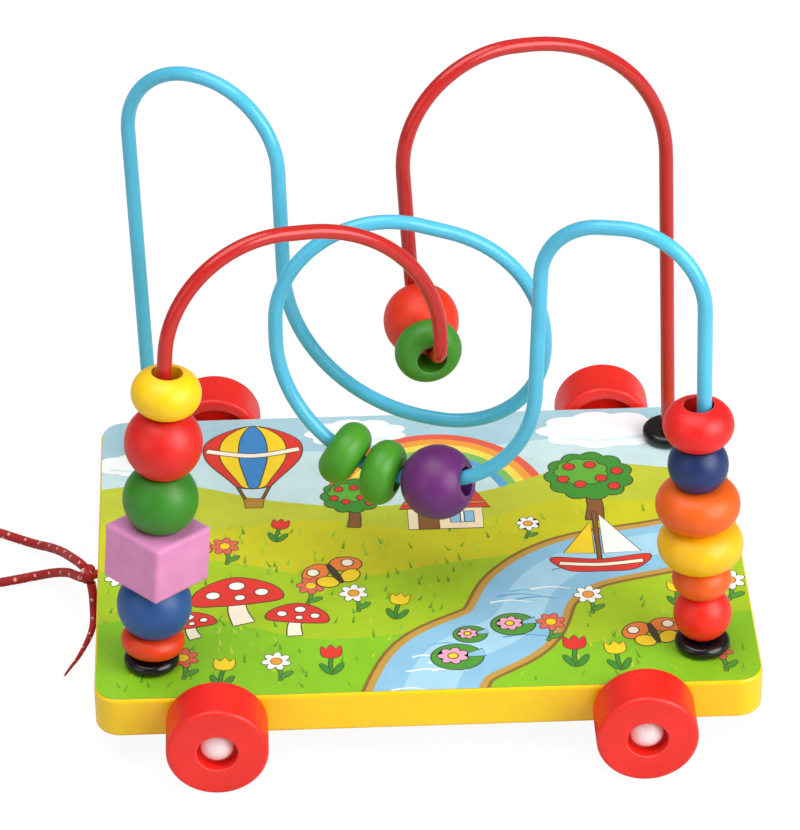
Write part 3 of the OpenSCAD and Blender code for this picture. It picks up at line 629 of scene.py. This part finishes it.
def surface(name, colour, dark=0.9, light=1.06, rough=(0.2, 0.3), patch=14, relief=None, relief_depth=0.03,
            soft_edge=0.5, wear=0.3, centre=(0, 0, 0), sheen=0.0, metal=0.0):
    """A finished surface.

    colour is a hex, or a function of the tree that gives a colour output. dark and light are how far it
    wanders, over patches of that many mm. relief(tree, place) gives a height output, for relief_depth mm.
    soft_edge rounds edges by that many mm, and wear is how much paler the finish is along them.
    """
    material = bpy.data.materials.new(name)
    material.use_nodes = True
    tree = material.node_tree
    tree.nodes.clear()
    at = add(tree, "TexCoord").outputs["Object"]
    place = add(tree, "Mapping", {"Vector": at, "Location": tuple(-Vector(centre))}).outputs[0]

    # Colour: the base, a little darker and lighter in soft patches.
    cloud = add(tree, "TexNoise", {
        "Vector": place, "Scale": per_metre(patch), "Detail": 4.0, "Roughness": 0.6}).outputs[0]
    base = colour(tree) if callable(colour) else linear(colour)
    deep, pale = (
        add(tree, "Mix", {FACTOR: 1.0, ONE: base, OTHER: (times, times, times, 1)},
            data_type="RGBA", blend_type="MULTIPLY").outputs[MIXED]
        for times in (dark, light))
    share = add(tree, "MapRange", {"Value": cloud, "From Min": 0.35, "From Max": 0.65}).outputs[0]
    tone = add(tree, "Mix", {FACTOR: share, ONE: deep, OTHER: pale}, data_type="RGBA").outputs[MIXED]

    # Edges: rounded to the light, and rubbed paler where they bend most.
    true = add(tree, "NewGeometry").outputs["Normal"]
    rounded = add(tree, "Bevel", {"Radius": mm(soft_edge)}, samples=6).outputs[0] if soft_edge else true
    bend = add(tree, "VectorMath", {0: rounded, 1: true}, operation="DOT_PRODUCT").outputs["Value"]
    rubbed = add(tree, "MapRange", {
        "Value": bend, "From Min": 0.97, "From Max": 0.8, "To Min": 0.0, "To Max": wear}).outputs[0]
    chips = add(tree, "TexNoise", {"Vector": place, "Scale": per_metre(CHIP_SIZE), "Detail": 3.0}).outputs[0]
    worn = add(tree, "Math", {0: rubbed, 1: chips}, operation="MULTIPLY").outputs[0]
    tone = add(tree, "Mix", {FACTOR: worn, ONE: tone, OTHER: RUBBED}, data_type="RGBA").outputs[MIXED]

    # Gloss that changes from scuff to scuff, and the maker's relief.
    gloss = add(tree, "MapRange", {
        "Value": chips, "From Min": 0.3, "From Max": 0.7, "To Min": rough[0], "To Max": rough[1]}).outputs[0]
    height = relief(tree, place) if relief else cloud
    bump = add(tree, "Bump", {
        "Height": height, "Normal": rounded, "Strength": 1.0, "Distance": mm(relief_depth)}).outputs[0]
    shader = add(tree, "BsdfPrincipled", {
        "Base Color": tone, "Metallic": metal, "Roughness": gloss, "Normal": bump, "IOR": 1.5,
        "Sheen Weight": sheen})
    add(tree, "OutputMaterial", {"Surface": shader.outputs[0]})
    return material


def grain(along, fine, stretch=14):
    """Relief of fibres of that width in mm, drawn out along an axis."""
    def relief(tree, place):
        scale = [1 / stretch if axis == along else 1 for axis in "XYZ"]
        drawn = add(tree, "Mapping", {"Vector": place, "Scale": scale}).outputs[0]
        return add(tree, "TexNoise", {"Vector": drawn, "Scale": per_metre(fine), "Detail": 3.0}).outputs[0]
    return relief


WAVE_PITCH = 2 * math.pi / 20     # from ring to ring in a Wave node whose scale is 1


def turned(around, pitch):
    """Relief of rings round an axis, that many mm apart, as a lathe tool leaves them under the paint.

    A tool's own rings are finer: these are as coarse as they need to be to show.
    """
    def relief(tree, place):
        return add(tree, "TexWave", {
            "Vector": place, "Scale": per_metre(pitch) * WAVE_PITCH,
            "Distortion": 1.5, "Detail": 2.0, "Detail Scale": 4.0,
        }, wave_type="RINGS", rings_direction=around).outputs[1]
    return relief


def peel(size):
    """Relief of sprayed lacquer: shallow dimples of that size in mm."""
    def relief(tree, place):
        return add(tree, "TexNoise", {"Vector": place, "Scale": per_metre(size), "Detail": 2.0}).outputs[0]
    return relief


def flecked(tree):
    """The braid's yarn: red, with the pale strands where the mesh marks them."""
    mark = add(tree, "Attribute", attribute_name="fleck").outputs["Fac"]
    red, pale = linear("#ae0c0c"), linear("#f2bcae")
    return add(tree, "Mix", {FACTOR: mark, ONE: red, OTHER: pale}, data_type="RGBA").outputs[MIXED]


def printed(tree):
    """The print's inks, from the mesh."""
    return add(tree, "Attribute", attribute_name="ink").outputs["Color"]


def centre_of(node):
    """The middle of a node's box, where its patterns start."""
    low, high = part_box(node)
    return (low + high) / 2


def finish_nodes(names, make):
    """Gives each of these nodes the material that make() gives for its name."""
    for name in names:
        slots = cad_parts[name].data.materials
        slots.clear()
        slots.append(make(name))


CORNERS = ("front_left", "front_right", "back_left", "back_right")

# Enamel on a sawn wooden board: an even warm yellow with a soft shine, and faint long fibres on its sides.
finish_nodes(["base_board"], lambda name: surface(
    "board_yellow_enamel", "#fbd000", dark=0.96, light=1.03, rough=(0.24, 0.36),
    relief=grain("X", 0.7), relief_depth=0.02, soft_edge=0.3))

# Litho-printed paper under clear lacquer: flat inks with a low sheen, slightly uneven as sprayed lacquer is.
top_print.data.materials.append(surface(
    "printed_paper_lacquered", printed, dark=0.95, light=1.04, rough=(0.42, 0.52), patch=9,
    relief=peel(2.5), relief_depth=0.006, soft_edge=0.01, wear=0))

for wire, colour in (("red", "#c02420"), ("blue", "#54bfe0")):
    # Extruded PVC tube: one smooth colour with a long, narrow highlight along each bend.
    finish_nodes([wire + "_wire_sleeve"], lambda name: surface(
        wire + "_extruded_sleeve", colour, dark=0.95, rough=(0.17, 0.21), patch=20,
        relief=peel(4), relief_depth=0.006, soft_edge=0, wear=0))
    # Drawn spring steel, inside the sleeve: grey metal with fine lines along it.
    finish_nodes([wire + "_wire_core"], lambda name: surface(
        wire + "_drawn_steel", "#9a9da0", rough=(0.3, 0.4), relief=grain("Z", 0.2), wear=0, metal=1.0))

# Injection-moulded plastic: deep black, with a small sharp highlight on the cap's shoulder.
finish_nodes(["end_cap_" + c for c in CORNERS], lambda name: surface(
    name + "_moulded_plastic", "#0e0e0f", dark=0.9, light=1.2, rough=(0.14, 0.24),
    relief=peel(0.6), relief_depth=0.008, soft_edge=0.4, wear=0.06))

# Birch turned on a lathe, clear lacquer: pale wood, with faint rings round the domed head.
finish_nodes(["axle_peg_" + c for c in CORNERS], lambda name: surface(
    name + "_turned_birch", "#fbe4e5", dark=0.95, light=1.03, rough=(0.26, 0.36), patch=1.8,
    relief=turned("Y", 3.14), relief_depth=0.02, wear=0.1, centre=centre_of(name)))

# Enamel on turned beech: bright red with a broad soft highlight, and the lathe's rings just showing.
finish_nodes(["wheel_" + c for c in CORNERS], lambda name: surface(
    name + "_red_enamel", "#f02418", rough=(0.32, 0.42),
    relief=turned("Y", 5.03), relief_depth=0.02, soft_edge=0.6, centre=centre_of(name)))

BEADS = {
    "left_post_orange_bead": "#e23b00",
    "left_post_blue_bead": "#1f5090",
    "left_post_pink_cube": "#dd8bbd",
    "left_post_green_bead": "#328414",
    "left_post_red_bead": "#dd1a10",
    "left_post_yellow_bead": "#ffce00",
    "right_post_low_red_bead": "#f2240a",
    "right_post_small_orange_bead": "#ee6006",
    "right_post_yellow_bead": "#fbbf00",
    "right_post_large_orange_bead": "#ee6006",
    "right_post_navy_bead": "#132e66",
    "right_post_top_red_bead": "#f01711",
    "dip_green_ring": "#40901c",
    "dip_orange_bead": "#f0320a",
    "loop_left_green_ring": "#489b1f",
    "loop_middle_green_ring": "#489b1f",
    "loop_purple_bead": "#692270",
}
# Lacquer tumbled on turned wood: clear colours with a wide soft highlight and a trace of grain.
finish_nodes(BEADS, lambda name: surface(
    name + "_lacquered_wood", BEADS[name], dark=0.92, light=1.05, rough=(0.37, 0.47), patch=7,
    relief=grain("Z", 1.1, 5), relief_depth=0.02, soft_edge=0.8, centre=centre_of(name)))

# Braided polyester: matt red yarn with pale flecks and a slight fuzz.
braid_yarn = surface(
    "braided_polyester_cord", flecked, dark=0.8, light=1.12, rough=(0.55, 0.75), patch=0.8,
    relief=peel(0.25), relief_depth=0.05, soft_edge=0.02, wear=0, sheen=0.1)
for piece in (pull_loop, pull_tail, pull_knot):
    piece.data.materials.append(braid_yarn)

# Pressed kraft paper: matt brown, mottled, with short fibres.
tie.data.materials.append(surface(
    "kraft_paper_band", "#b98d5c", dark=0.85, rough=(0.7, 0.85), patch=2,
    relief=grain("Y", 0.15, 6), relief_depth=0.03, soft_edge=0.02, wear=0))

# White studio: a pale floor that stays white to the camera, and soft light from the front right and above.
FLOOR_REACH = 4        # metres to each side
GLOW = 1.09            # strength of the white that the camera sees
GLOW_SHARE = 0.85      # the rest is matte paper, and holds a faint shadow
WORLD_LIGHT = 0.22
AIM = mm(0, 0, 60)     # the toy's middle, which the lamps face

floor = mesh_piece(
    "floor", [(x * FLOOR_REACH, y * FLOOR_REACH, 0) for x, y in ((-1, -1), (1, -1), (1, 1), (-1, 1))],
    [(0, 1, 2, 3)])
# Matt background paper: no shine, and grey to the toy, so that it throws little white back on the colours.
paper = bpy.data.materials.new("studio_paper")
paper.use_nodes = True
tree = paper.node_tree
tree.nodes.clear()
seen = add(tree, "LightPath").outputs["Is Camera Ray"]
matte = add(tree, "BsdfDiffuse", {"Color": linear("#cfcfcf")}).outputs[0]
white = add(tree, "Emission", {"Color": linear("#ffffff"), "Strength": GLOW}).outputs[0]
part = add(tree, "Math", {0: seen, 1: GLOW_SHARE}, operation="MULTIPLY").outputs[0]
both = add(tree, "MixShader", {0: part, 1: matte, 2: white}).outputs[0]
add(tree, "OutputMaterial", {"Surface": both})
floor.data.materials.append(paper)

world = bpy.data.worlds.new("studio")
world.use_nodes = True
sky = world.node_tree.nodes["Background"]
sky.inputs["Color"].default_value = linear("#ffffff")
sky.inputs["Strength"].default_value = WORLD_LIGHT
bpy.context.scene.world = world


def softbox(name, place, size, power):
    """A round soft lamp: its place and width in metres, and its power in watts."""
    lamp = bpy.data.lights.new(name, "AREA")
    lamp.energy = power
    lamp.size = size
    lamp.shape = "DISK"
    light = bpy.data.objects.new(name, lamp)
    light.location = place
    light.rotation_euler = (AIM - light.location).to_track_quat("-Z", "Y").to_euler()
    bpy.context.collection.objects.link(light)


softbox("key", Vector((1.0, -0.75, 0.75)), size=1.3, power=21)
softbox("top", Vector((-0.25, -0.1, 1.4)), size=1.3, power=13.5)
softbox("fill", Vector((-1.1, -0.8, 0.6)), size=1.0, power=2.6)

bpy.context.scene.view_settings.view_transform = "Standard"
